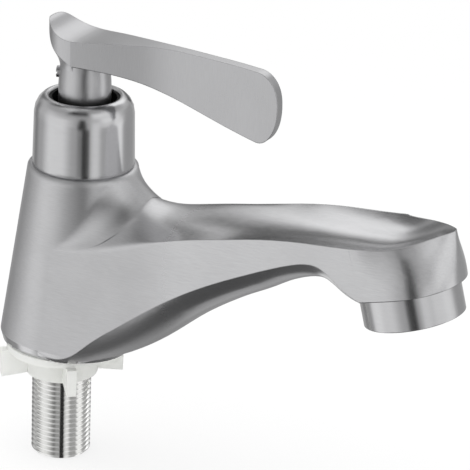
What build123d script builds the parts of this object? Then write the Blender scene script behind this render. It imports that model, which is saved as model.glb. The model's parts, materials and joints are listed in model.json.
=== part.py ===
from build123d import *
from math import cos, radians, sin, sqrt
import os

# Cold water basin tap with a single lever, in mm.
# Origin: on the threaded shank's axis, at the seat that stands on the basin.
# +X runs along the spout, +Z is up. The lever is closed and lies over the spout.

# Column, with its oval foot and its round collar
STEM_X = 7.4
FOOT_X = 1.5
FOOT_LONG = 24.3
FOOT_WIDE = 19.45
FOOT_BEVEL = 3.2
COLLAR_Z = 68.3
COLLAR_R = 19.2
WALL = 3.5
RECESS_TOP = 15.0

# Clearances
THREAD_FIT = 0.05
SHAFT_FIT = 0.05
DISC_FILM = 0.05
LOOSE = 0.4
SEAT_GAP = 0.02

# Round cover over the headwork
SPIGOT_R = 15.0
SPIGOT_TOP = COLLAR_Z + 4.0
BONNET_R = 17.7
BONNET_TOP = COLLAR_Z + 25.2
BONNET_BORE_R = 15.9
MOUTH_R = 12.2
LINER_R = 9.8

# Shank with a half inch pipe thread
THREAD_R = 20.955 / 2
THREAD_ROOT_R = 18.631 / 2
THREAD_PITCH = 25.4 / 14
SHANK_END = -42.3
SHANK_TOP = 12.5
THREAD_TOP = -0.4
INLET_R = 6.5
GASKET_T = 1.0

# Fixing nut
NUT_R = FOOT_WIDE + 0.15
NUT_FLANGE_T = 2.6
NUT_HUB_R = 12.7
NUT_FOOT = -11.4
WING_R = 22.0
WING_FOOT = -12.5
WING_T = 3.4
WING_TURN = 39.5  # degrees

# Outlet axis, leaning forward from the vertical
OUTLET_X = 135.0
OUTLET_Z = 40.8
LEAN = 14.7
NOZZLE_R = 17.2
NOZZLE_THREAD_R = 11.95
NOZZLE_THREAD_TOP = 18.5
NOZZLE_BORE_R = 9.6
NOZZLE_CUP_R = 14.5
NOZZLE_CUP_TOP = 8.0
INSERT_R = 14.4

# Headwork in the column
SEAT_Z = 34.0
SEAL_T = 2.0
CHAMBER_R = 14.0
CHAMBER_TOP = 52.0
SEAT_BORE_R = 5.5
HEAD_THREAD_R = 10.45
CAGE_R = 9.4
HOUSING_FOOT = SEAT_Z + SEAL_T
HOUSING_BORE_R = 8.4
HOUSING_STEP = HOUSING_FOOT + 16.0
HEX_FLATS = 24.0
WASHER_T = 1.0
HEX_FOOT = SPIGOT_TOP + WASHER_T
HEX_TOP = HEX_FOOT + 4.7
HOUSING_TOP = HEX_TOP + 8.0
GUIDE_R = 8.0
STEM_R = 5.0
DISC_T = 3.0
CARRIER_FOOT = HOUSING_FOOT + 2 * DISC_T + DISC_FILM
CARRIER_TOP = CARRIER_FOOT + 5.0
TANG_T = 3.0
TANG_DEPTH = 2.2
THRUST_T = 1.1
FLANGE_TOP = HOUSING_STEP - THRUST_T - 0.5
O_RING_WIRE = 0.7
CLIP_T = 0.9
CLIP_GROOVE_R = 3.9
CLIP_Z = HOUSING_TOP + 0.2
SPLINE_R = 4.15
SPLINE_TEETH = 20

# Lever and its screw
HUB_FOOT = CLIP_Z + CLIP_T + 0.9
NECK_R = 9.1
STEM_TOP = HUB_FOOT + 15.0
SOCKET_TOP = STEM_TOP + 1.0
BUSH_R = 5.9
SCREW_Z = HUB_FOOT + 13.0
SCREW_R = 2.0
SCREW_OUT = 8.0
SCREW_TURN = 200.0  # degrees


def loop(edges):
    return Face(Wire(edges))


def turned(points, x=STEM_X):
    """Turns a closed outline of (radius, height) pairs about the upright axis at x."""
    outline = [(x + r, 0, z) for r, z in points]
    face = make_face(Polyline(*outline, close=True))
    return revolve(face, axis=Axis((x, 0, 0), (0, 0, 1)))


def rod(r, z0, z1, x=STEM_X):
    return Pos(x, 0, z0) * Cylinder(r, z1 - z0, align=(Align.CENTER, Align.CENTER, Align.MIN))


def ring(r0, r1, z0, z1, x=STEM_X):
    return rod(r1, z0, z1, x) - rod(r0, z0, z1, x)


def outlet_plane(up):
    """The plane square to the outlet axis, at a height above the nozzle's mouth."""
    lean = Vector(-sin(radians(LEAN)), 0, cos(radians(LEAN)))
    mouth = Plane(origin=(OUTLET_X, 0, OUTLET_Z), x_dir=(0, -1, 0), z_dir=lean)
    return mouth.offset(up)


def outlet_rod(r, low, high):
    base = Cylinder(r, high - low, align=(Align.CENTER, Align.CENTER, Align.MIN))
    return outlet_plane(low) * base


def outlet_ring(r0, r1, low, high):
    return outlet_rod(r1, low, high) - outlet_rod(r0, low, high)


# Spout: station, half width, crisp lower edge of the flank, keel
BELLY = [
    (-2.0, 19.43, 3.3, -11.0),
    (4.0, 19.43, 1.9, -8.0),
    (10.0, 19.44, 1.9, -5.3),
    (15.5, 19.45, 4.7, -2.9),
    (21.0, 19.47, 9.8, -0.6),
    (31.9, 19.5, 18.8, 4.6),
    (45.2, 19.5, 29.0, 13.6),
    (58.2, 19.45, 37.7, 24.4),
    (69.0, 19.36, 43.8, 32.0),
    (78.0, 19.3, 48.3, 37.5),
    (86.0, 19.2, 52.1, 41.9),
    (93.0, 19.15, 55.2, 46.2),
    (99.0, 19.1, 57.5, 49.0),
    (103.5, 19.05, 58.6, 50.4),
    (107.5, 19.0, 58.4, 50.7),
    (111.5, 18.97, 56.3, 49.3),
    (116.0, 18.95, 52.9, 47.0),
    (122.0, 18.93, 49.8, 45.7),
    (130.0, 18.92, 48.8, 45.4),
    (142.0, 18.92, 48.6, 45.4),
]
BELLY_TURN = 0.72
BELLY_RISE = 0.3
FLANK_DRAFT = 0.0038

# Top of the spout: station, height at 19.5, 13, 6.5 and 0 from the middle
DECK = [
    (-2.0, 41.4, 50.0, 60.0, 64.0),
    (4.0, 42.0, 50.9, 60.9, 65.1),
    (10.0, 42.9, 51.9, 61.7, 66.1),
    (16.0, 44.0, 53.0, 62.4, 66.9),
    (22.0, 45.5, 54.2, 63.0, 67.4),
    (27.0, 47.2, 55.0, 63.0, 67.2),
    (31.0, 48.6, 54.9, 60.0, 62.6),
    (35.5, 50.3, 55.0, 58.5, 59.9),
    (41.0, 52.2, 55.8, 58.1, 58.8),
    (48.0, 54.3, 57.4, 58.8, 59.2),
    (58.0, 57.2, 59.6, 60.4, 60.5),
    (70.0, 60.0, 61.6, 62.0, 62.0),
    (84.0, 63.2, 63.4, 63.2, 63.1),
    (98.0, 65.5, 64.7, 64.1, 63.8),
    (112.5, 66.9, 65.6, 64.7, 64.3),
    (121.0, 67.9, 66.2, 65.2, 64.8),
    (128.0, 69.2, 67.1, 66.0, 65.6),
    (136.0, 71.8, 69.9, 68.8, 68.4),
    (144.0, 75.6, 73.8, 72.9, 72.6),
    (153.0, 79.8, 78.0, 77.3, 77.1),
]

DECK_ACROSS = (19.5, 13.0, 6.5, 0.0)

# Cove between the column and the top: degrees round from the spout, height on the column,
# reach along the top, fullness
COVE = [
    (0, 67.9, 7.5, 2.0),
    (14, 67.9, 8.4, 2.2),
    (28, 67.9, 9.2, 2.4),
    (40, 65.6, 7.8, 1.4),
    (50, 61.0, 5.4, 0.7),
    (60, 55.2, 2.9, 0.35),
    (70, 50.0, 1.25, 0.15),
    (80, 46.0, 0.35, 0.0),
    (88, 43.8, -0.05, -0.15),
]
COVE_SINK = 0.15

# Hollow of the spout: station, middle height, half width, half height
PASSAGE = [
    (14.0, 41.5, 8.5, 5.0),
    (18.5, 41.5, 10.0, 6.0),
    (23.5, 37.5, 13.0, 14.0),
    (30.0, 34.0, 15.3, 21.5),
    (40.0, 35.5, 16.0, 19.5),
    (50.0, 38.7, 16.0, 16.4),
    (60.0, 43.2, 16.0, 13.2),
    (72.0, 48.0, 15.6, 10.0),
    (85.0, 52.3, 14.8, 7.0),
    (100.0, 57.2, 13.0, 4.2),
    (116.0, 56.4, 12.0, 4.8),
    (127.0, 57.0, 9.0, 4.4),
]

# Plan of the head, one half: height above the nozzle's mouth, then points (sideways, forward)
HEAD = [
    (11.3, [(18.93, -9.5), (18.93, -4.5), (18.8, 0.8), (17.6, 7.4), (13.8, 13.8), (7.6, 18.2), (0, 19.7)]),
    (20.5, [(18.9, -9.5), (18.75, -4.6), (18.2, 0.6), (16.6, 7.1), (12.7, 13.3), (7.0, 18.2), (0, 20.3)]),
    (31.0, [(18.86, -9.5), (18.2, -4.8), (16.7, -0.7), (13.6, 5.7), (9.0, 11.4), (4.2, 17.1), (0, 20.9)]),
]
HEAD_FOOT = HEAD[0][0]
HEAD_START = HEAD[0][1][0][1]
HEAD_BACK_R = 18.7


def belly_section(x, half, edge, keel):
    """One slice across the spout: flat flanks above a crisp edge, a round belly below."""
    roof = 95
    top = half - FLANK_DRAFT * (roof - edge)
    left = (x, -half, edge)
    right = (x, half, edge)
    turn = BELLY_TURN * half
    rise = keel + BELLY_RISE * (edge - keel)
    belly = [right, (x, turn, rise), (x, 0, keel), (x, -turn, rise), left]
    return loop([
        Line((x, -top, roof), (x, top, roof)),
        Line((x, top, roof), right),
        Spline(*belly),
        Line(left, (x, -top, roof)),
    ])


def deck_section(x, outer, third, inner, middle):
    """One slice of the space above the spout."""
    edge = outer + (outer - third)
    half = [(26, edge), (19.5, outer), (13, third), (6.5, inner)]
    row = half + [(0, middle)] + [(-y, z) for y, z in reversed(half)]
    curve = [(x, y, z) for y, z in row]
    return loop([
        Spline(*curve),
        Line(curve[-1], (x, -26, 120)),
        Line((x, -26, 120), (x, 26, 120)),
        Line((x, 26, 120), curve[0]),
    ])


def head_section(up, half):
    """The head's outline on a plane square to the outlet axis, straight across its back."""
    points = half + [(-y, a) for y, a in half[-2::-1]]
    round_front = Spline(*points, tangents=[(0, 1), (0, -1)])
    return outlet_plane(up) * loop([round_front, Line(points[-1], points[0])])


def oval(z, x, a, b):
    return Plane((x, 0, z)) * Ellipse(a, b)


def spout():
    """The spout and its head, with the dished top."""
    slab = loft([belly_section(*row) for row in BELLY])
    lean = radians(LEAN)
    middle = Plane(
        origin=(OUTLET_X, 0, OUTLET_Z),
        x_dir=(0, 1, 0),
        z_dir=(cos(lean), 0, sin(lean)),
    )
    slab &= middle * Pos(0, 0, HEAD_START - 100) * Box(120, 300, 200)
    slab &= Pos(60, 0, 50) * Box(240, 80, 100)
    widest = Plane(
        origin=(FOOT_X, 0, FOOT_BEVEL),
        x_dir=(0, 1, 0),
        z_dir=(COLLAR_Z - FOOT_BEVEL, 0, FOOT_X - STEM_X),
    )
    slab &= widest * Pos(0, 0, 100) * Box(80, 300, 200)
    below = outlet_plane(HEAD_FOOT) * Pos(0, 0, -15) * Box(60, 60, 30)
    slab -= below & (Pos(140, 0, 40) * Box(56, 80, 80))
    head = loft([head_section(*row) for row in HEAD])
    back = outlet_rod(HEAD_BACK_R, HEAD_FOOT, HEAD_FOOT + 3)
    back &= outlet_plane(HEAD_FOOT) * Pos(0, -22, 0) * Box(60, 40, 60)
    whole = slab + head + back
    whole -= loft([deck_section(*row) for row in DECK])
    return whole - Pos(5, 0, COLLAR_Z + 19.6) * Box(50, 60, 40)


def deck_height(x, y):
    """Height of the top of the spout, between the stations of its table."""
    for before, after in zip(DECK, DECK[1:]):
        if x <= after[0]:
            break
    share = (x - before[0]) / (after[0] - before[0])
    total = 0.0
    for k, one in enumerate(DECK_ACROSS):
        term = before[k + 1] + share * (after[k + 1] - before[k + 1])
        for other in DECK_ACROSS:
            if other != one:
                term *= (y * y - other * other) / (one * one - other * other)
        total += term
    return total


def column_reach(turn, z):
    """Distance from the stem's axis to the column's side at a turn and a height."""
    t = (z - FOOT_BEVEL) / (COLLAR_Z - FOOT_BEVEL)
    a = FOOT_LONG + t * (COLLAR_R - FOOT_LONG)
    b = FOOT_WIDE + t * (COLLAR_R - FOOT_WIDE)
    off = STEM_X - (FOOT_X + t * (STEM_X - FOOT_X))
    p = (cos(turn) / a) ** 2 + (sin(turn) / b) ** 2
    q = off * cos(turn) / a ** 2
    return (sqrt(q * q - p * ((off / a) ** 2 - 1)) - q) / p


def cove_section(degrees, top, reach, fullness):
    """Slice of the cove, on an upright plane through the stem's axis."""
    turn = radians(degrees)
    foot = column_reach(turn, 55)

    def on_deck(r):
        return deck_height(STEM_X + r * cos(turn), r * sin(turn))

    def place(r, z):
        return (STEM_X + r * cos(turn), r * sin(turn), z)

    bend = foot + fullness
    first = place(column_reach(turn, top) - COVE_SINK, top)
    last = place(foot + reach, on_deck(foot + reach) - COVE_SINK)
    inside = foot - 2.5
    low = place(inside, on_deck(foot) - 3)
    high = place(inside, top)
    curve = Bezier(first, place(bend, on_deck(bend)), last)
    return loop([curve, Line(last, low), Line(low, high), Line(high, first)])


def cove():
    """Soft hollow sweep from the column's side into the top of the spout."""
    rows = [(-row[0], *row[1:]) for row in COVE[:0:-1]] + COVE
    return loft([cove_section(*row) for row in rows])


def column():
    """The upright column: an oval foot rising to a round collar."""
    wide = oval(FOOT_BEVEL, FOOT_X, FOOT_LONG, FOOT_WIDE)
    foot = loft([oval(0, FOOT_X, FOOT_LONG - 1.0, FOOT_WIDE - 0.65), wide])
    shaft = loft([wide, oval(COLLAR_Z, STEM_X, COLLAR_R, COLLAR_R)])
    rim = shaft.edges().group_by(Axis.Z)[-1]
    return foot + fillet(rim, 1.1)


def foot_recess():
    """Hollow under the foot, round the boss that holds the shank."""
    a = FOOT_LONG - WALL
    b = FOOT_WIDE - WALL
    pocket = loft([oval(-1, FOOT_X, a, b), oval(RECESS_TOP, FOOT_X + 1, a - 1, b)])
    return pocket - rod(THREAD_R + WALL, -2, RECESS_TOP + 1, 0)


def waterway():
    """The hollow from the shank to the nozzle."""
    across = [Plane((x, 0, z), x_dir=(0, 1, 0), z_dir=(1, 0, 0)) * Ellipse(a, b)
              for x, z, a, b in PASSAGE]
    passage = loft(across)
    return [
        rod(THREAD_R + THREAD_FIT, -1, SHANK_TOP + GASKET_T, 0),
        rod(INLET_R, SHANK_TOP, 24, 0),
        rod(SEAT_BORE_R, 18, SEAT_Z + 1),
        rod(CHAMBER_R, SEAT_Z, CHAMBER_TOP),
        rod(HEAD_THREAD_R + THREAD_FIT, CHAMBER_TOP - 1, SPIGOT_TOP + 1),
        passage,
        outlet_rod(NOZZLE_THREAD_R + THREAD_FIT, HEAD_FOOT - 1, NOZZLE_THREAD_TOP + 1.5),
        foot_recess(),
    ]


def tap_body():
    body = column() + spout() + cove()
    body = body + rod(SPIGOT_R, COLLAR_Z - 1, SPIGOT_TOP)
    for hollow in waterway():
        body -= hollow
    return body


def inlet_shank():
    """Threaded shank. Its thread is drawn as rings of the true pitch and depth."""
    outline = [(INLET_R, SHANK_END), (THREAD_ROOT_R, SHANK_END)]
    z = SHANK_END + 0.5
    flank = (THREAD_PITCH - 0.5) / 2
    while z + THREAD_PITCH < THREAD_TOP:
        outline += [(THREAD_ROOT_R, z), (THREAD_R, z + flank)]
        outline += [(THREAD_R, z + flank + 0.35), (THREAD_ROOT_R, z + 2 * flank + 0.35)]
        z += THREAD_PITCH
    outline += [(THREAD_ROOT_R, z), (THREAD_R, z + flank)]
    outline += [(THREAD_R, SHANK_TOP), (INLET_R, SHANK_TOP)]
    return turned(outline, 0)


def shank_gasket():
    return ring(INLET_R + 0.3, THREAD_R - 0.1, SHANK_TOP, SHANK_TOP + GASKET_T, 0)


def fixing_nut():
    """Plastic nut with a flange and four wings, run up the shank to the foot."""
    hole = THREAD_R + THREAD_FIT
    nut = ring(hole, NUT_R, -NUT_FLANGE_T, 0, 0)
    nut += ring(hole, NUT_HUB_R, NUT_FOOT, -NUT_FLANGE_T, 0)
    root = NUT_HUB_R - 0.5
    top = 0.1 - NUT_FLANGE_T
    wing = Polyline(
        (root, top),
        (WING_R, top),
        (WING_R - 0.3, WING_FOOT),
        (root, NUT_FOOT + 0.1),
        close=True,
    )
    fin = extrude(Plane.XZ * make_face(wing), WING_T / 2, both=True)
    for turn in range(0, 360, 90):
        nut += Rot(0, 0, WING_TURN + turn) * fin
    return nut


def bonnet_cover():
    """Round cover over the headwork, screwed on the body's spigot."""
    top = BONNET_TOP
    outer = [(BONNET_R - 0.45, COLLAR_Z), (BONNET_R, COLLAR_Z + 0.5), (BONNET_R - 0.4, top - 6.3)]
    outer += [(BONNET_R - 0.8, top - 3.9), (BONNET_R - 1.8, top - 1.9), (BONNET_R - 3.1, top - 0.6)]
    outer += [(BONNET_R - 4.5, top), (MOUTH_R + 0.4, top)]
    inner = [(MOUTH_R, top - 0.4), (MOUTH_R, top - 6.5), (BONNET_BORE_R, top - 8.5)]
    inner += [(BONNET_BORE_R, SPIGOT_TOP + 0.4)]
    foot = [(SPIGOT_R + THREAD_FIT, SPIGOT_TOP + 0.4), (SPIGOT_R + THREAD_FIT, COLLAR_Z)]
    return turned(outer + inner + foot)


def bonnet_liner():
    """Dark plastic sleeve in the cover's mouth, clear of the lever's neck."""
    top = BONNET_TOP
    wide = BONNET_BORE_R - 0.1
    narrow = MOUTH_R - 0.1
    outline = [(LINER_R, top - 10.1), (wide, top - 10.1), (wide, top - 8.5), (narrow, top - 6.5)]
    outline += [(narrow, top - 0.9), (narrow - 0.9, top - 0.9), (narrow - 0.9, top - 7.1)]
    outline += [(LINER_R, top - 7.9)]
    return turned(outline)


def cartridge_housing():
    """Brass headwork housing: cage, thread, hexagon and guide for the spindle."""
    blank = rod(CAGE_R, HOUSING_FOOT, CHAMBER_TOP) + rod(HEAD_THREAD_R, CHAMBER_TOP, HEX_FOOT)
    hexagon = extrude(RegularPolygon(HEX_FLATS / 2, 6, major_radius=False), HEX_TOP - HEX_FOOT)
    blank += Pos(STEM_X, 0, HEX_FOOT) * hexagon
    blank += rod(GUIDE_R, HEX_TOP, HOUSING_TOP)
    blank -= rod(HOUSING_BORE_R, HOUSING_FOOT - 1, HOUSING_STEP)
    blank -= rod(STEM_R + SHAFT_FIT, HOUSING_STEP - 1, HOUSING_TOP + 1)
    window = Pos(STEM_X, 0, CARRIER_FOOT + 2) * Box(7, 3 * CAGE_R, 3)
    return blank - window


def headwork_washer():
    """Fibre washer between the spigot's top and the housing's hexagon."""
    return ring(HEAD_THREAD_R + 0.1, HEX_FLATS / 2 - 0.2, SPIGOT_TOP, HEX_FOOT)


def seat_seal():
    return ring(SEAT_BORE_R + 0.3, CAGE_R - 0.1, SEAT_Z, HOUSING_FOOT)


def ports(turn):
    """The two kidney openings of a disc, as cutters."""
    cutter = None
    for side in (0, 180):
        arc = CenterArc((0, 0), 4.3, turn + side - 32, 64)
        kidney = extrude(SlotArc(arc, 3.0), 20)
        cutter = kidney if cutter is None else cutter + kidney
    return Pos(STEM_X, 0, HOUSING_FOOT - 5) * cutter


def fixed_disc():
    return rod(HOUSING_BORE_R - 0.1, HOUSING_FOOT, HOUSING_FOOT + DISC_T) - ports(0)


def moving_disc():
    foot = HOUSING_FOOT + DISC_T + DISC_FILM
    return rod(HOUSING_BORE_R - LOOSE, foot, foot + DISC_T) - ports(90)


def disc_carrier():
    carrier = rod(HOUSING_BORE_R - LOOSE, CARRIER_FOOT, CARRIER_TOP) - ports(90)
    slot = Pos(STEM_X, 0, CARRIER_TOP) * Box(TANG_T + 0.1, 18, 2 * TANG_DEPTH + 0.1)
    return carrier - slot


def thrust_washer():
    return ring(STEM_R + 0.35, HOUSING_BORE_R - 0.1, HOUSING_STEP - THRUST_T, HOUSING_STEP)


def o_ring_heights():
    return HOUSING_STEP + 8, HOUSING_STEP + 16


def spindle():
    """Spindle with a drive tang, grooves for its rings and a splined top."""
    low = CARRIER_TOP
    flange = rod(HOUSING_BORE_R - 1.0, low, FLANGE_TOP)
    shaft = flange + rod(STEM_R, FLANGE_TOP, HUB_FOOT)
    tang = Pos(STEM_X, 0, low - TANG_DEPTH / 2 + 0.25) * Box(TANG_T, 13, TANG_DEPTH + 0.5)
    shaft += tang
    for z in o_ring_heights():
        shaft -= ring(STEM_R - 2 * O_RING_WIRE, STEM_R + 1, z - 0.9, z + 0.9)
    shaft -= ring(CLIP_GROOVE_R, STEM_R + 1, CLIP_Z, CLIP_Z + CLIP_T)
    root = SPLINE_R - 0.4
    points = []
    for k in range(SPLINE_TEETH):
        for part, r in ((0.0, root), (0.25, root), (0.5, SPLINE_R), (0.75, SPLINE_R)):
            a = radians(360 * (k + part) / SPLINE_TEETH)
            points.append((r * cos(a), r * sin(a)))
    spline = extrude(make_face(Polyline(*points, close=True)), STEM_TOP - HUB_FOOT)
    return shaft + Pos(STEM_X, 0, HUB_FOOT) * spline


def spindle_o_rings():
    middle = STEM_R + SEAT_GAP - O_RING_WIRE
    rings = [Pos(STEM_X, 0, z) * Torus(middle, O_RING_WIRE) for z in o_ring_heights()]
    return Compound(children=rings)


def spindle_circlip():
    clip = ring(CLIP_GROOVE_R, STEM_R + 1.3, CLIP_Z, CLIP_Z + CLIP_T)
    return clip - Pos(STEM_X + 5, 0, CLIP_Z) * Box(10, 3.4, 4)


def screw_line(r0, r1, radius):
    """A rod along the screw's axis, from one distance off the spindle's axis to another."""
    bar = Cylinder(radius, r1 - r0, align=(Align.CENTER, Align.CENTER, Align.MIN))
    return Pos(STEM_X, 0, SCREW_Z) * Rot(0, 0, SCREW_TURN) * Pos(r0, 0, 0) * Rot(0, 90, 0) * bar


def spline_bush():
    bush = ring(SPLINE_R + SEAT_GAP, BUSH_R, HUB_FOOT + 0.6, STEM_TOP + 0.6)
    return bush - screw_line(3, 8, SCREW_R + 0.1)


def grub_screw():
    screw = screw_line(SPLINE_R + 0.05, SCREW_OUT, SCREW_R)
    bar = extrude(RegularPolygon(1.0, 6), 2.4)
    socket = Pos(STEM_X, 0, SCREW_Z) * Rot(0, 0, SCREW_TURN) * Pos(SCREW_OUT - 2.2, 0, 0)
    return screw - socket * Rot(0, 90, 0) * bar


def screw_plug():
    """Slotted cap over the lever's screw, standing a little proud of the neck."""
    cap = screw_line(SCREW_OUT + 0.05, NECK_R + 0.65, SCREW_R)
    place = Pos(STEM_X, 0, SCREW_Z) * Rot(0, 0, SCREW_TURN) * Pos(NECK_R + 0.65, 0, 0)
    return cap - place * Box(1.3, 6, 0.9)


# Lever, from above: (ahead of the spindle, half width), from the back of the hub to the tip
LEVER_BACK = [(-13.2, 0), (-12.7, 2.6), (-11.0, 5.6), (-8.0, 8.0), (-4.4, 9.0), (-0.8, 9.05)]
LEVER_SIDE = [
    (-0.8, 9.05), (6.6, 7.6), (12.6, 6.3), (19.6, 4.75), (26.6, 3.3), (32.6, 2.5), (40.6, 2.1),
    (54.6, 1.95), (76.6, 1.8),
]

# Lever, from the side: (ahead of the spindle, above the hub's foot)
LEVER_TOP = [
    (-14.0, 31.6), (-12.0, 31.7), (-9.8, 30.2), (-7.2, 28.4), (-4.0, 27.2), (0.6, 26.75),
    (8.6, 27.3), (19.6, 28.1), (32.6, 28.6), (46.6, 28.2), (60.6, 27.4), (66.1, 26.9),
]
LEVER_TIP = [
    (66.1, 26.9), (70.8, 25.0), (73.5, 21.2), (74.5, 15.8), (74.2, 10.6), (72.4, 5.4),
    (69.8, 2.6), (66.6, 2.2),
]
LEVER_LOW = [
    (66.6, 2.2), (59.9, 4.0), (51.6, 6.5), (44.6, 8.8), (37.6, 11.1), (30.6, 13.2),
    (24.0, 15.0), (16.6, 16.4), (6.6, 17.4), (0.0, 17.8),
]
HUB_FLARE = [(-0.5, 16.0), (-0.1, 18.0), (0.9, 20.2), (2.2, 22.6), (3.0, 25.4), (3.6, 29.0), (3.9, 33.0)]


def lever_side(points, y):
    """Points of the lever's side view, on the upright plane at y."""
    return [(STEM_X + x, y, HUB_FOOT + z) for x, z in points]


def lever_plan():
    """The lever seen from above, as a tall block."""
    low = HUB_FOOT - 3
    half = LEVER_BACK[::-1]
    back = [(STEM_X + x, -y, low) for x, y in half] + [(STEM_X + x, y, low) for x, y in LEVER_BACK[1:]]
    side = [(STEM_X + x, y, low) for x, y in LEVER_SIDE]
    other = [(x, -y, z) for x, y, z in side]
    face = loop([Spline(*back), Spline(*side), Line(side[-1], other[-1]), Spline(*other)])
    return extrude(face, 45, dir=(0, 0, 1))


def lever_profile():
    """The lever seen from the side, as a thick plate."""
    y = -15.0
    top, tip, low = [lever_side(row, y) for row in (LEVER_TOP, LEVER_TIP, LEVER_LOW)]
    corner = (top[0][0], y, low[-1][2])
    edges = [Spline(*top), Spline(*tip), Spline(*low), Line(low[-1], corner), Line(corner, top[0])]
    return extrude(loop(edges), 30, dir=(0, 1, 0))


def above_lever():
    """The space over the lever's dished top."""
    y = -20.0
    top = lever_side(LEVER_TOP, y)
    roof = HUB_FOOT + 52
    first = (top[0][0], y, roof)
    last = (top[-1][0], y, roof)
    edges = [Spline(*top), Line(top[-1], last), Line(last, first), Line(first, top[0])]
    return extrude(loop(edges), 40, dir=(0, 1, 0))


def lever_hub():
    """The flared back of the hub, before it is cut to the lever's plan."""
    flare = [(STEM_X + NECK_R + r, 0, HUB_FOOT + z) for r, z in HUB_FLARE]
    foot = (STEM_X, 0, flare[0][2])
    peak = (STEM_X, 0, flare[-1][2])
    edges = [Spline(*flare), Line(flare[-1], peak), Line(peak, foot), Line(foot, flare[0])]
    whole = revolve(loop(edges), axis=Axis((STEM_X, 0, 0), (0, 0, 1)))
    return whole & Pos(STEM_X - 20, 0, HUB_FOOT + 25) * Box(40, 60, 50)


def lever_neck():
    """Round neck with a slight waist, reaching up into the blade."""
    rise = HUB_FLARE[0][1]
    waist = NECK_R + HUB_FLARE[0][0]
    side = [(NECK_R, HUB_FOOT), (NECK_R, HUB_FOOT + rise - 7), (NECK_R - 0.1, HUB_FOOT + rise - 5)]
    side += [(waist + 0.08, HUB_FOOT + rise - 1.5), (waist, HUB_FOOT + rise), (waist, HUB_FOOT + rise + 3)]
    return turned([(0, HUB_FOOT)] + side + [(0, HUB_FOOT + rise + 3)])


def lever_handle():
    ahead = Pos(STEM_X + 50, 0, HUB_FOOT + 17) * Box(100, 60, 60)
    blade = (lever_profile() & ahead) & lever_plan()
    lever = (lever_hub() & lever_plan()) - above_lever()
    lever = lever + blade + lever_neck()
    lever -= rod(BUSH_R + SEAT_GAP, HUB_FOOT - 1, SOCKET_TOP)
    return lever - screw_line(4, 20, SCREW_R + 0.05)


def aerator_housing():
    """Metal nozzle ring, screwed into the head."""
    nozzle = outlet_rod(NOZZLE_R, 0, HEAD_FOOT)
    nozzle += outlet_rod(NOZZLE_THREAD_R, HEAD_FOOT, NOZZLE_THREAD_TOP)
    nozzle -= outlet_rod(NOZZLE_CUP_R, -1, NOZZLE_CUP_TOP)
    nozzle -= outlet_rod(NOZZLE_BORE_R, 0, NOZZLE_THREAD_TOP + 1)
    return nozzle


def aerator_washer():
    return outlet_ring(NOZZLE_BORE_R + 0.4, INSERT_R, NOZZLE_CUP_TOP - 1.6, NOZZLE_CUP_TOP)


def aerator_insert():
    """Plastic cup with an open hub and spokes that holds the screen."""
    top = NOZZLE_CUP_TOP - 1.6
    cup = outlet_ring(12.4, INSERT_R, 0.8, top)
    for turn in range(4):
        cup += outlet_plane(top - 1.2) * Rot(0, 0, 45 * turn) * Box(26, 1.2, 2.4)
    return cup


def aerator_screen():
    """Fine metal screen across the mouth."""
    disc = Cylinder(12.35, 0.6)
    holes = [Pos(x * 2.4 + (y % 2) * 1.2, y * 2.08, 0) for x in range(-5, 6) for y in range(-5, 6)]
    inside = [p for p in holes if p.position.length < 10.9]
    for place in inside:
        disc -= place * Cylinder(0.75, 2)
    return outlet_plane(1.4) * disc


NODES = {
    "tap_body": tap_body,
    "inlet_shank": inlet_shank,
    "shank_gasket": shank_gasket,
    "fixing_nut": fixing_nut,
    "bonnet_cover": bonnet_cover,
    "bonnet_liner": bonnet_liner,
    "cartridge_housing": cartridge_housing,
    "headwork_washer": headwork_washer,
    "seat_seal": seat_seal,
    "fixed_disc": fixed_disc,
    "moving_disc": moving_disc,
    "disc_carrier": disc_carrier,
    "thrust_washer": thrust_washer,
    "spindle": spindle,
    "spindle_o_rings": spindle_o_rings,
    "spindle_circlip": spindle_circlip,
    "spline_bush": spline_bush,
    "grub_screw": grub_screw,
    "screw_plug": screw_plug,
    "lever_handle": lever_handle,
    "aerator_housing": aerator_housing,
    "aerator_washer": aerator_washer,
    "aerator_insert": aerator_insert,
    "aerator_screen": aerator_screen,
}

os.makedirs("parts", exist_ok=True)
for name, make in NODES.items():
    export_step(make(), f"parts/{name}.step")
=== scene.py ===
import json
from math import pi
import bpy
from mathutils import Matrix, Vector


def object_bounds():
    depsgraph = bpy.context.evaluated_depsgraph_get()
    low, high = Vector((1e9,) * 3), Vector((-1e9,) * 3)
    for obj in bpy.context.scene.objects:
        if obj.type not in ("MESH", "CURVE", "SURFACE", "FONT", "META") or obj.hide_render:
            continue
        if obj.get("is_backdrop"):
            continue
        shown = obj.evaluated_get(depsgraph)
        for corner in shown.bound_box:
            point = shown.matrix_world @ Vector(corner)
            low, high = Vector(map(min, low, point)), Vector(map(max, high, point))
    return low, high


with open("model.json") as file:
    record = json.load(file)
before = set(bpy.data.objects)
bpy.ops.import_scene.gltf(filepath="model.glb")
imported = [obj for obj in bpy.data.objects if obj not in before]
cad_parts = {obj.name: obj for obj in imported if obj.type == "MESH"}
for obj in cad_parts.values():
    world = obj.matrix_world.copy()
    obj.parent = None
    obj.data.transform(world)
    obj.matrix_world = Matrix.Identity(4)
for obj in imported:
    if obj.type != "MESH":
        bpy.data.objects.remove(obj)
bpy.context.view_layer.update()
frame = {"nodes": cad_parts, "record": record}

# The photograph's camera, in metres: place, right, up and back
EYE = Vector((0.529216, -0.907189, 0.470888))
RIGHT = Vector((0.88408425, 0.46608614, 0.03404049))
UP = Vector((-0.20448732, 0.32032151, 0.92497517))
BACK = Vector((0.42021421, -0.82471682, 0.3784999))
LENS = 248.8
SENSOR = 36
CLIP_START = 0.01

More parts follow.
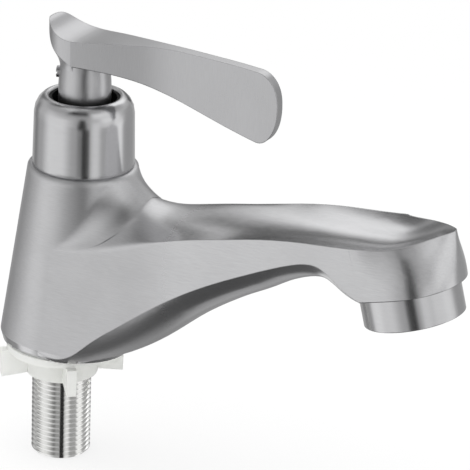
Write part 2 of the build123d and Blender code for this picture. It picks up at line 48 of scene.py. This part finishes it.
# Steel: its colour, its roughness where it is polished or dull, the depth of its brushed lines in
# metres for a bump of 1, and the grain of turned pieces, which runs round them
STEEL = (0.62, 0.62, 0.63)
POLISHED = 0.09
MATT = 0.38
LINE_DEPTH = 0.0001
TURNED_GRAIN = (200, 200, 12000)

# Where the body changes its finish and the radius that its edges seem to have, in metres
RIM_TOP, RIM_FADE = 0.0030, 0.0034
RIM_FOOT, RIM_FOOT_FADE = 0.0012, 0.0016
REAR_END, REAR_FADE = 0.004, 0.014
COLUMN_END, COLUMN_FADE = 0.035, 0.06
SMALL_EDGE, WIDE_EDGE = 0.0005, 0.0032
WIDE_END, WIDE_FADE = 0.034, 0.052
WIDE_LOW, WIDE_FROM = 0.040, 0.045

# The hollow on the spout's top: lean of the surface for each metre off the middle, where it
# starts along the spout, and how far up a surface faces to be part of the top
DISH_LEAN = 11.0
DISH_START, DISH_FULL = 0.03, 0.07
FACES_UP, FACES_FULLY_UP = 0.55, 0.85

# The floor, in metres, the world's brightness for surfaces that mirror nothing, and the lamp's watts
FLOOR_RADIUS = 6
FLOOR_GAP = 0.0002
FLOOR_WHITE_FROM, FLOOR_WHITE_TO = 0.1, 0.6
TAP_MIDDLE = 0.06
DIFFUSE_LEVEL = 0.86
LAMP_POWER = 5


class Nodes:
    """A short way to write node trees."""

    def __init__(self, tree):
        self.tree = tree
        tree.nodes.clear()

    def add(self, kind, inputs=None, **settings):
        node = self.tree.nodes.new(kind)
        for key, value in settings.items():
            setattr(node, key, value)
        for key, value in (inputs or {}).items():
            self.put(node, key, value)
        return node

    def put(self, node, key, value):
        """Links an input to a node or a socket, or sets it to a plain value."""
        if isinstance(value, bpy.types.NodeSocket):
            self.tree.links.new(value, node.inputs[key])
        elif isinstance(value, bpy.types.Node):
            self.tree.links.new(value.outputs[0], node.inputs[key])
        else:
            node.inputs[key].default_value = value

    def math(self, operation, *values):
        return self.add("ShaderNodeMath", dict(enumerate(values)), operation=operation).outputs[0]

    def ramp(self, value, stops):
        """Colours or levels at their places, with soft passages between."""
        node = self.add("ShaderNodeValToRGB", {0: value})
        node.color_ramp.interpolation = "EASE"
        elements = node.color_ramp.elements
        while len(elements) < len(stops):
            elements.new(0.5)
        for element, (place, colour) in zip(elements, stops):
            element.position = place
            level = colour if isinstance(colour, tuple) else (colour, colour, colour)
            element.color = (*level, 1)
        return node.outputs[0]

    def step(self, value, low, high):
        """0 below low, 1 above high, smooth between."""
        node = self.add("ShaderNodeMapRange", {0: value, 1: low, 2: high, 3: 0.0, 4: 1.0},
                        interpolation_type="SMOOTHSTEP")
        return node.outputs[0]

    def around(self, value, middle, share):
        """A value that wanders round its middle by this share as the noise goes up and down."""
        low, high = middle * (1 - share), middle * (1 + share)
        node = self.add("ShaderNodeMapRange", {0: value, 1: 0.3, 2: 0.7, 3: low, 4: high})
        return node.outputs[0]

    def shaded(self, value, colour, darker, lighter):
        """A colour between a darker and a lighter share of itself."""
        return self.ramp(value, [(0.3, tuple(c * darker for c in colour)),
                                 (0.7, tuple(min(1, c * lighter) for c in colour))])

    def band(self, value, low, high, soft):
        """1 from low to high, falling to 0 over the softness on both sides."""
        return self.math("MULTIPLY", self.step(value, low - soft, low + soft),
                         self.step(value, high + soft, high - soft))

    def mix(self, factor, a, b):
        """The number a where the factor is 0, b where it is 1."""
        node = self.add("ShaderNodeMix", data_type="FLOAT")
        for key, value in zip((0, 2, 3), (factor, a, b)):
            self.put(node, key, value)
        return node.outputs[0]

    def place(self):
        """The object's own coordinates."""
        return self.add("ShaderNodeTexCoord").outputs["Object"]

    def along(self, axis):
        """One of the object's own coordinates."""
        return self.add("ShaderNodeSeparateXYZ", {0: self.place()}).outputs[axis]

    def noise(self, stretch, detail=3.0, rough=0.5):
        """Noise with this many cells to a metre along each axis, so that it turns into grain."""
        cells = self.add("ShaderNodeMapping", {"Vector": self.place(), "Scale": stretch})
        return self.add("ShaderNodeTexNoise", {"Vector": cells, "Scale": 1.0, "Detail": detail,
                                               "Roughness": rough}).outputs[0]


def material(name):
    """A new material and its empty node tree."""
    made = bpy.data.materials.new(name)
    made.use_nodes = True
    return made, Nodes(made.node_tree)


def finish_with(n, shader):
    """Makes this shader the material's surface."""
    n.add("ShaderNodeOutputMaterial", {"Surface": shader})


def brushed(name, colour, rough, grain, spread=0.0, bump=0.04, polish=None, edge=0.0004,
            dish=None, matt=None):
    """Brushed steel. grain is the stretch of its fine lines, spread its anisotropy, polish and matt
    mark its polished and duller parts, edge is the radius that its edges seem to have, and dish
    a soft hollow."""
    made, n = material(name)
    lines = n.noise(grain, 6.0, 0.65)
    cloud = n.noise((60, 60, 60))
    fine = n.mix(0.35, lines, cloud)
    roughness = n.around(fine, rough, 0.14)
    normal = n.add("ShaderNodeBevel", {"Radius": edge(n) if callable(edge) else edge}, samples=8)
    if dish:
        normal = dish(n, normal)
    relief = n.math("MULTIPLY", lines, bump * LINE_DEPTH)
    normal = n.add("ShaderNodeBump", {"Strength": 1.0, "Distance": 1.0, "Height": relief,
                                      "Normal": normal}).outputs[0]
    if matt:
        roughness = n.mix(matt(n), roughness, MATT)
    if polish:
        roughness = n.mix(polish(n), roughness, POLISHED)
    shader = n.add("ShaderNodeBsdfPrincipled", {"Base Color": n.shaded(fine, colour, 0.93, 1.05),
                                                "Metallic": 1.0, "Roughness": roughness,
                                                "Normal": normal})
    if spread:
        n.put(shader, "Anisotropic", spread)
        n.put(shader, "Anisotropic Rotation", 0.25)
        n.put(shader, "Tangent", n.add("ShaderNodeTangent", direction_type="RADIAL", axis="Z"))
    finish_with(n, shader)
    return made


def foot_polish(n):
    """1 on the foot's polished rim, which is higher at the rear, and 0 above it."""
    low = n.step(n.along("Z"), RIM_FADE, RIM_TOP)
    lowest = n.step(n.along("Z"), RIM_FOOT_FADE, RIM_FOOT)
    rear = n.step(n.along("X"), REAR_FADE, REAR_END)
    return n.math("MAXIMUM", n.math("MULTIPLY", low, rear), lowest)


def column_matt(n):
    """1 on the column, 0 on the spout."""
    return n.step(n.along("X"), COLUMN_FADE, COLUMN_END)


def body_edges(n):
    """Small radius on the body's rims, larger where the spout's top runs into the column."""
    near = n.math("MULTIPLY", n.step(n.along("X"), WIDE_FADE, WIDE_END),
                  n.step(n.along("Z"), WIDE_LOW, WIDE_FROM))
    return n.mix(near, SMALL_EDGE, WIDE_EDGE)


def top_dish(n, normal):
    """Soft hollow on the spout's top: the surface seems to rise from its middle to both rims."""
    facing = n.add("ShaderNodeSeparateXYZ", {0: normal}).outputs
    top = n.step(facing["Z"], FACES_UP, FACES_FULLY_UP)
    ahead = n.step(n.along("X"), DISH_START, DISH_FULL)
    lean = n.math("MULTIPLY", n.math("MULTIPLY", n.along("Y"), -DISH_LEAN),
                  n.math("MULTIPLY", ahead, top))
    aside = n.add("ShaderNodeCombineXYZ", {1: lean})
    leant = n.add("ShaderNodeVectorMath", {0: normal, 1: aside}, operation="ADD")
    return n.add("ShaderNodeVectorMath", {0: leant}, operation="NORMALIZE")


def plain(name, colour, rough, metal=0.0, vary=0.06, cells=400, **inputs):
    """Moulded, cast or machined material with a little unevenness."""
    made, n = material(name)
    cloud = n.noise((cells, cells, cells), 4.0)
    height = n.add("ShaderNodeBump", {"Strength": 0.03, "Distance": 0.0002, "Height": cloud})
    level = n.shaded(cloud, colour, 1 - vary, 1 + vary)
    shader = n.add("ShaderNodeBsdfPrincipled", {"Base Color": level, "Metallic": metal,
                                                "Roughness": n.around(cloud, rough, 0.15),
                                                "Normal": height.outputs[0]})
    for key, value in inputs.items():
        n.put(shader, key.replace("_", " "), value)
    finish_with(n, shader)
    return made


looks = {
    "body_steel": brushed("satin_body", STEEL, 0.22, (260, 1100, 3200), polish=foot_polish,
                          edge=body_edges, dish=top_dish, matt=column_matt, bump=0.025),
    "lever_steel": brushed("satin_lever", (0.55, 0.55, 0.56), 0.3, (6000, 6000, 260), bump=0.06),
    "cover_steel": brushed("turned_cover", STEEL, 0.17, TURNED_GRAIN, spread=0.4, bump=0.015,
                           edge=0.0022),
    "nozzle_steel": brushed("turned_nozzle", STEEL, 0.18, TURNED_GRAIN, spread=0.4, bump=0.015),
    "thread_steel": plain("polished_thread", (0.88, 0.88, 0.87), 0.07, metal=1.0, vary=0.02),
    "inner_steel": plain("machined_steel", (0.52, 0.52, 0.53), 0.3, metal=1.0),
    "screen_steel": plain("screen_steel", (0.5, 0.5, 0.51), 0.35, metal=1.0),
    "nut_plastic": plain("milky_plastic", (0.95, 0.96, 0.92), 0.35, vary=0.01, cells=150,
                         Transmission_Weight=0.15, Subsurface_Weight=0.3, Subsurface_Scale=0.004,
                         Subsurface_Radius=(1, 1, 1)),
    "black_plastic": plain("black_plastic", (0.004, 0.004, 0.004), 0.6, Specular_IOR_Level=0.15),
    "insert_plastic": plain("insert_plastic", (0.74, 0.75, 0.73), 0.42),
    "headwork_brass": plain("machined_brass", (0.71, 0.5, 0.22), 0.28, metal=1.0),
    "disc_ceramic": plain("lapped_ceramic", (0.88, 0.87, 0.83), 0.18, vary=0.02),
    "carrier_plastic": plain("carrier_plastic", (0.78, 0.77, 0.7), 0.45),
    "rubber": plain("black_rubber", (0.02, 0.02, 0.02), 0.65),
    "fibre": plain("red_fibre", (0.33, 0.08, 0.05), 0.75, vary=0.12),
}
slot_of = {p["node"]: p["material_slot"] for p in frame["record"]["subparts"]}
for name, node in frame["nodes"].items():
    node.data.materials.clear()
    node.data.materials.append(looks[slot_of[name]])


# What metal mirrors, by height: from straight below to straight above
LEVELS = [(0.0, 0.13), (0.09, 0.18), (0.2, 0.38), (0.34, 0.5), (0.5, 0.62), (0.67, 0.6),
          (0.85, 0.48), (1.0, 0.4)]

# Past half a turn, so that a patch has no edge on that side
OPEN = 400

# Panels, gaps and dark cloths round the tap, each over those before it: degrees round from -Y
# toward +X, degrees up, softness in degrees, brightness
PATCHES = [
    # The broad panel in front, which the flank and the lever mirror, and two low ones beside it
    ((-66, -8), (-37, 20), 15, 0.93),
    ((-76, -46), (-58, -25), 9, 1.05),
    ((-142, -120), (-52, -34), 7, 0.95),
    # The dark ground below, for the spout's underside
    ((-35, 4), (-90, -33), 7, 0.1),
    # Pale panels to the right and above
    ((-100, -72), (60, 78), 6, 1.0),
    ((46, 66), (-42, 4), 7, 0.85),
    ((68, 122), (-5, 26), 11, 1.0),
    ((50, 120), (28, 56), 10, 0.95),
    ((100, 127), (-42, -5), 6, 1.05),
    ((-84, -32), (66, 82), 7, 0.85),
    # The gap between front and right, which is the dark stripe on the head, nozzle and cover
    ((10, 42), (-14, 32), 10, 0.42),
    ((25, 42), (-60, -15), 3, 0.03),
    ((15, 35), (-18, 0), 4, 0.06),
    ((19, 32), (-6, 26), 5, 0.03),
    # Dark cloths above and to the left
    ((-22, 44), (41, 72), 8, 0.05),
    ((-128, -98), (42, 64), 8, 0.1),
    ((-118, -98), (-36, 16), 11, 0.26),
    # Behind: bright high up and dark at eye level, for the spout's top
    ((168, OPEN), (26, 80), 6, 1.25),
    ((-OPEN, -146), (22, 62), 6, 1.25),
    ((-OPEN, -135), (35, 82), 4, 1.2),
    ((-140, -120), (4, 34), 7, 0.2),
    ((135, 178), (-42, 13), 8, 0.42),
    ((-OPEN, -142), (-6, 13), 6, 0.12),
    # A paler patch low behind, for the far side of the underside
    ((-180, -140), (-84, -48), 9, 0.5),
]


def studio():
    """The world: darker below than above, with the patches that the metal mirrors."""
    world = bpy.data.worlds.new("studio")
    bpy.context.scene.world = world
    world.use_nodes = True
    n = Nodes(world.node_tree)
    way = n.add("ShaderNodeTexCoord").outputs["Generated"]
    x, y, z = n.add("ShaderNodeSeparateXYZ", {0: way}).outputs
    turn = n.math("MULTIPLY", n.math("ARCTAN2", x, n.math("MULTIPLY", y, -1.0)), 180 / pi)
    height = n.math("MULTIPLY_ADD", z, 0.5, 0.5)
    level = n.ramp(height, LEVELS)
    rise = n.math("MULTIPLY", n.math("ARCSINE", z), 180 / pi)
    for (left, right), (low, high), soft, shine in PATCHES:
        inside = n.math("MULTIPLY", n.band(turn, left, right, soft), n.band(rise, low, high, soft))
        level = n.mix(inside, level, shine)
    rays = n.add("ShaderNodeLightPath").outputs
    seen = n.mix(rays["Is Glossy Ray"], DIFFUSE_LEVEL, level)
    seen = n.mix(rays["Is Camera Ray"], seen, 1.0)
    seen = n.mix(rays["Is Transmission Ray"], seen, 1.0)
    white = n.add("ShaderNodeBackground", {"Color": (1, 1, 1, 1), "Strength": seen})
    n.add("ShaderNodeOutputWorld", {"Surface": white})


def floor():
    """A pale round floor just below the shank, plain white where the tap casts no shadow."""
    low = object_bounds()[0][2] - FLOOR_GAP
    bpy.ops.mesh.primitive_circle_add(vertices=96, radius=FLOOR_RADIUS, fill_type="NGON",
                                      location=(TAP_MIDDLE, 0, low))
    ground = bpy.context.object
    ground.name = "floor"
    made, n = material("pale_floor")
    away = n.add("ShaderNodeVectorMath", {0: n.place()}, operation="LENGTH").outputs["Value"]
    clear = n.step(away, FLOOR_WHITE_FROM, FLOOR_WHITE_TO)
    rays = n.add("ShaderNodeLightPath").outputs
    glow = n.math("MULTIPLY", rays["Is Camera Ray"], n.mix(clear, 0.8, 1.0))
    cloth = n.add("ShaderNodeBsdfDiffuse", {"Color": (0.93, 0.93, 0.93, 1)})
    white = n.add("ShaderNodeEmission", {"Color": (1, 1, 1, 1)})
    finish_with(n, n.add("ShaderNodeMixShader", {0: glow, 1: cloth, 2: white}))
    ground.data.materials.append(made)
    ground.visible_glossy = False
    ground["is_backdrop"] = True


def lamp(name, place, aim, size, power):
    """A soft lamp that metal does not mirror."""
    light = bpy.data.lights.new(name, "AREA")
    light.shape = "RECTANGLE"
    light.size, light.size_y = size
    light.energy = power
    made = bpy.data.objects.new(name, light)
    made.visible_glossy = False
    made.location = place
    made.rotation_euler = (Vector(aim) - Vector(place)).to_track_quat("-Z", "Y").to_euler()
    bpy.context.collection.objects.link(made)


def camera():
    """The photograph's camera, without depth of field."""
    data = bpy.data.cameras.new("photo_camera")
    data.sensor_width = SENSOR
    data.lens = LENS
    data.clip_start = CLIP_START
    made = bpy.data.objects.new("photo_camera", data)
    axes = Matrix((RIGHT, UP, BACK)).transposed().to_4x4()
    made.matrix_world = Matrix.Translation(EYE) @ axes
    bpy.context.collection.objects.link(made)
    bpy.context.scene.camera = made


studio()
floor()
lamp("top_light", (0.0, -0.1, 1.0), (TAP_MIDDLE, 0, 0.05), (0.9, 0.9), LAMP_POWER)
camera()
bpy.context.scene.view_settings.view_transform = "Standard"
